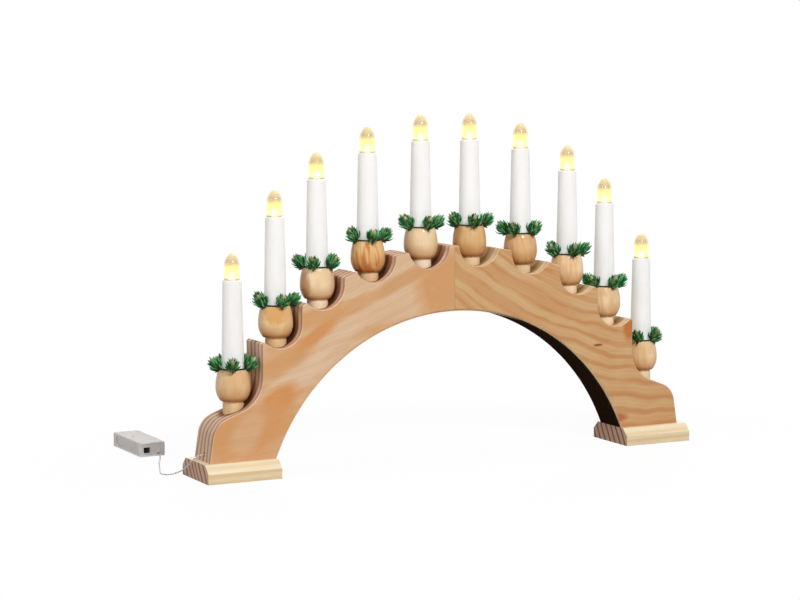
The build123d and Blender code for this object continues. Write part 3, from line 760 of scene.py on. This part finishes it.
# fir rings: a twisted wire with five tufts of needles, a bud in each and a dark stub below, partly the stem's
# end and partly painted shadow of the tuft on the cup's rim
firRing = {
    "turns": (247, 270, 232, 262, 271, 257, 218, 263, 274, 226),  # degrees, one tuft of each ring
    "wireCircle": 0.01140, "wireRadius": 0.00040, "wireTwists": 15, "wireSteps": 180, "wireLift": 0.0008,
    "tufts": 5, "tuftCircle": 0.0125, "tuftRise": 50.0, "inner": 0.0108,
    "needles": 52, "needleLength": 0.0108, "needleRadius": 0.00072, "needleSides": 5,
    "needleShape": (0.6, 0.9, 1.05, 0.95, 0.7, 0.12), "leanLow": 90.0, "leanHigh": 36.0, "curl": 0.46,
    "budLength": 0.0142, "budShape": (0.6, 0.9, 1.0, 0.95, 0.8, 0.6, 0.34, 0.03), "budRadius": 0.0034,
    "stubLength": 0.0052, "stubShape": (0.8, 1.0, 1.0, 0.95, 0.85, 0.7, 0.5, 0.03), "stubRadius": 0.0014,
    "spiral": 2.39996, "spinChance": 0.25, "leanChance": 7, "seat": 0.4,
    "lengths": (0.8, 1.05), "shorter": 0.22,
    "wireSides": 6, "budSides": 10, "stubSides": 8, "stubOut": 0.80, "stubDown": -0.60,
    "wireShade": 0.25, "stubShade": 0.2, "seed": 12,
}


def tuftFrames(size, turn):
    # outward, sideways and axis directions of each tuft
    angle = np.radians(turn + np.arange(size["tufts"]) * 360 / size["tufts"])
    outward = np.stack([np.cos(angle), np.sin(angle), np.zeros_like(angle)], axis=-1)
    sideways = np.stack([-np.sin(angle), np.cos(angle), np.zeros_like(angle)], axis=-1)
    lift = math.radians(size["tuftRise"])
    axis = outward * math.cos(lift) + np.array([0, 0, math.sin(lift)])
    return outward, sideways, axis, np.cross(axis, sideways)


def needleLines(size, centre, base, sideways, axis, across, chance):
    # needles sit on a spiral up the bud: the lower they start the more they lean, and all curl to the axis
    spread = (len(base), size["needles"])
    share = (np.arange(size["needles"]) + 0.5) / size["needles"]
    loose = size["spinChance"]
    spin = np.arange(size["needles"]) * size["spiral"] + chance.uniform(-loose, loose, spread)
    loose = size["leanChance"]
    lean = size["leanLow"] + (size["leanHigh"] - size["leanLow"]) * share
    lean = np.radians(lean + chance.uniform(-loose, loose, spread))
    start = base[:, None] + axis[:, None] * (share * size["budLength"] * size["seat"])[None, :, None]
    away = sideways[:, None] * np.cos(spin)[..., None] + across[:, None] * np.sin(spin)[..., None]
    step = np.linspace(0, 1, len(size["needleShape"]))
    length = size["needleLength"] * chance.uniform(*size["lengths"], spread) * (1 - size["shorter"] * share)
    bend = lean[..., None] * (1 - size["curl"] * step)
    reach = length[..., None] * step
    lines = (start[:, :, None] + axis[:, None, None] * (reach * np.cos(bend))[..., None]
             + away[:, :, None] * (reach * np.sin(bend))[..., None])
    # the sleeve presses the inner needles outward
    flat = lines[..., :2] - centre[:2]
    radius = np.linalg.norm(flat, axis=-1, keepdims=True)
    lines[..., :2] = centre[:2] + flat * np.maximum(radius, size["inner"]) / radius
    return lines.reshape(-1, len(step), 3), chance.uniform(0, 1, spread).ravel()


def firGreen():
    material, tree, shader = newFinish("firGreen", 0.35)
    along = readAttribute(tree, "along")
    pick = readAttribute(tree, "pick")
    # darker towards each needle's base: partly the needle's tone, partly painted shade deep in the tuft
    dark = ramp(tree, along, (0.0, tone(2, 20, 10)), (0.40, tone(4, 60, 28)), (1.0, tone(14, 108, 48)))
    light = ramp(tree, along, (0.0, tone(4, 32, 18)), (0.40, tone(28, 136, 64)), (1.0, tone(126, 206, 138)))
    tree.links.new(mix(tree, between(tree, pick, 0.40, 0.85), dark, light), shader.inputs["Base Color"])
    shader.inputs["Specular IOR Level"].default_value = 0.2
    return material


def budBrown():
    material, tree, shader = newFinish("budBrown", 0.5)
    along = readAttribute(tree, "along")
    pick = readAttribute(tree, "pick")
    plain = ramp(tree, along, (0.0, tone(40, 22, 14)), (0.4, tone(92, 72, 38)), (0.9, tone(138, 112, 66)))
    pale = ramp(tree, along, (0.0, tone(44, 26, 16)), (0.4, tone(122, 96, 56)), (0.9, tone(208, 182, 134)))
    tree.links.new(mix(tree, pick, plain, pale), shader.inputs["Base Color"])
    return material


def stems(base, direction, length, shape, radius, sides):
    # a short stem on each base, thick by its shape
    step = np.linspace(0, 1, len(shape))
    lines = base[:, None] + direction[:, None] * (step * length)[None, :, None]
    points, faces = manyTubes(lines, radius * np.array(shape), sides)
    return points, faces, np.tile(np.repeat(step, sides), len(base))


def makeFirRings(size):
    chance = np.random.default_rng(size["seed"])
    green, brown = firGreen(), budBrown()
    for number, turn in zip(candleNumbers, size["turns"]):
        cupLow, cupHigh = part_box("candle_cup_" + number)
        centre = np.array((cupLow + cupHigh) / 2)
        centre[2] = cupHigh.z + size["wireLift"]
        outward, sideways, axis, across = tuftFrames(size, turn)
        base = centre + outward * size["tuftCircle"]
        # wire: two strands twisted round the circle
        bearing = np.linspace(0, 2 * np.pi, size["wireSteps"])
        twist = bearing * size["wireTwists"] + np.array([[0], [np.pi]])
        circle = size["wireCircle"] + size["wireRadius"] * np.cos(twist)
        upDown = size["wireRadius"] * np.sin(twist)
        wire = centre + np.stack([circle * np.cos(bearing), circle * np.sin(bearing), upDown], -1)
        wirePoints, wireFaces = manyTubes(wire, size["wireRadius"], size["wireSides"])
        lines, pick = needleLines(size, centre, base, sideways, axis, across, chance)
        thick = size["needleRadius"] * np.array(size["needleShape"])
        needlePoints, needleFaces = manyTubes(lines, thick, size["needleSides"])
        budPoints, budFaces, budAlong = stems(
            base, axis, size["budLength"], size["budShape"], size["budRadius"], size["budSides"])
        # the dark stub over the cup's rim: partly stem end, partly painted shadow
        down = unit(outward * size["stubOut"] + np.array([0, 0, size["stubDown"]]))
        stubPoints, stubFaces, stubAlong = stems(
            base, down, size["stubLength"], size["stubShape"], size["stubRadius"], size["stubSides"])
        # one mesh, with how far along and which pick for its colours
        groups = [wirePoints, needlePoints, budPoints, stubPoints]
        starts = np.concatenate([[0], np.cumsum([len(group) for group in groups])[:-1]])
        parts = [wireFaces, needleFaces, budFaces, stubFaces]
        faces = np.concatenate([part + start for part, start in zip(parts, starts)])
        slots = np.repeat([0, 0, 1, 1], [len(part) for part in parts])
        perNeedle = len(size["needleShape"]) * size["needleSides"]
        step = np.linspace(0, 1, len(size["needleShape"]))
        needleAlong = np.tile(np.repeat(step, size["needleSides"]), len(lines))
        wireAlong = np.full(len(wirePoints), size["wireShade"])
        along = np.concatenate([wireAlong, needleAlong, budAlong, size["stubShade"] * stubAlong])
        budPick = np.repeat(chance.uniform(0, 1, size["tufts"]), len(budPoints) // size["tufts"])
        needlePick = np.repeat(pick, perNeedle)
        picks = np.concatenate([np.zeros(len(wirePoints)), needlePick, budPick, np.zeros(len(stubPoints))])
        points = np.concatenate(groups)
        ring = addPiece("firRing" + number, points, faces, "arch", [green, brown], slots,
                        {"along": along, "pick": picks})
        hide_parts("fir_ring_" + number)


makeFirRings(firRing)
print("fir rings tied")


# studio: floor that looks white, soft lamps, white surround
studio = {
    "floorSize": 8.0, "floorBounce": grey(0.60), "floorSeen": grey(0.95), "surround": 0.22,
    "shadowShare": 0.05, "shadowReach": (0.55, 0.40, 1.0), "shadowEdge": 0.4,
    "lamps": (
        ("keyLamp", (-0.12, -1.92, 1.40), 0.50, 34.5),
        ("fillLamp", (-2.0, -0.4, 0.9), 1.0, 8.0),
        ("topLamp", (0.2, 0.0, 1.9), 0.8, 7.0),
        ("rearLamp", (1.0, 1.8, 1.1), 0.9, 16.0),
    ),
    "aim": (0.0, 0.0, 0.12),
}


def seenRay(tree):
    # camera, glossy and transmission rays all see the plain white
    path = addNode(tree, "LightPath")
    seen = calculate(tree, "MAXIMUM", path.outputs["Is Camera Ray"], path.outputs["Is Glossy Ray"])
    return calculate(tree, "MAXIMUM", seen, path.outputs["Is Transmission Ray"])


def makeFloor(size):
    half = size["floorSize"] / 2
    mesh = bpy.data.meshes.new("floor")
    corners = [(-half, -half, 0), (half, -half, 0), (half, half, 0), (-half, half, 0)]
    mesh.from_pydata(corners, [], [(0, 1, 2, 3)])
    material, tree, shader = newFinish("floorPale", 0.9)
    seen = seenRay(tree)
    tree.links.new(mix(tree, seen, size["floorBounce"], size["floorSeen"]), shader.inputs["Base Color"])
    shader.inputs["Specular IOR Level"].default_value = 0.0
    # shadows show near the object and fade out to plain white
    near = spot(tree, (0, 0, 0), size["shadowReach"])
    near = between(tree, near, 0.0, size["shadowEdge"], size["shadowShare"])
    white = addNode(tree, "Emission")
    blend = addNode(tree, "MixShader")
    tree.links.new(calculate(tree, "SUBTRACT", seen, near), blend.inputs["Fac"])
    tree.links.new(shader.outputs["BSDF"], blend.inputs[1])
    tree.links.new(white.outputs["Emission"], blend.inputs[2])
    tree.links.new(blend.outputs["Shader"], tree.nodes["Material Output"].inputs["Surface"])
    mesh.materials.append(material)
    floor = bpy.data.objects.new("floor", mesh)
    bpy.context.scene.collection.objects.link(floor)


def makeSurround(size):
    world = bpy.data.worlds.new("surround")
    world.use_nodes = True
    tree = world.node_tree
    light = tree.nodes["Background"]
    light.inputs["Color"].default_value = grey(1.0)
    light.inputs["Strength"].default_value = size["surround"]
    white = addNode(tree, "Background")
    white.inputs["Color"].default_value = grey(1.0)
    blend = addNode(tree, "MixShader")
    tree.links.new(seenRay(tree), blend.inputs["Fac"])
    tree.links.new(light.outputs["Background"], blend.inputs[1])
    tree.links.new(white.outputs["Background"], blend.inputs[2])
    tree.links.new(blend.outputs["Shader"], tree.nodes["World Output"].inputs["Surface"])
    bpy.context.scene.world = world


def makeLamps(size):
    for name, where, width, power in size["lamps"]:
        data = bpy.data.lights.new(name, "AREA")
        data.size = width
        data.energy = power
        lamp = bpy.data.objects.new(name, data)
        bpy.context.scene.collection.objects.link(lamp)
        lamp.location = where
        towards = np.array(size["aim"]) - np.array(where)
        flat = math.hypot(towards[0], towards[1])
        lamp.rotation_euler = (math.atan2(flat, -towards[2]), 0, math.atan2(-towards[0], towards[1]))


makeFloor(studio)
makeSurround(studio)
makeLamps(studio)
bpy.context.scene.view_settings.view_transform = "Standard"
print("studio set")
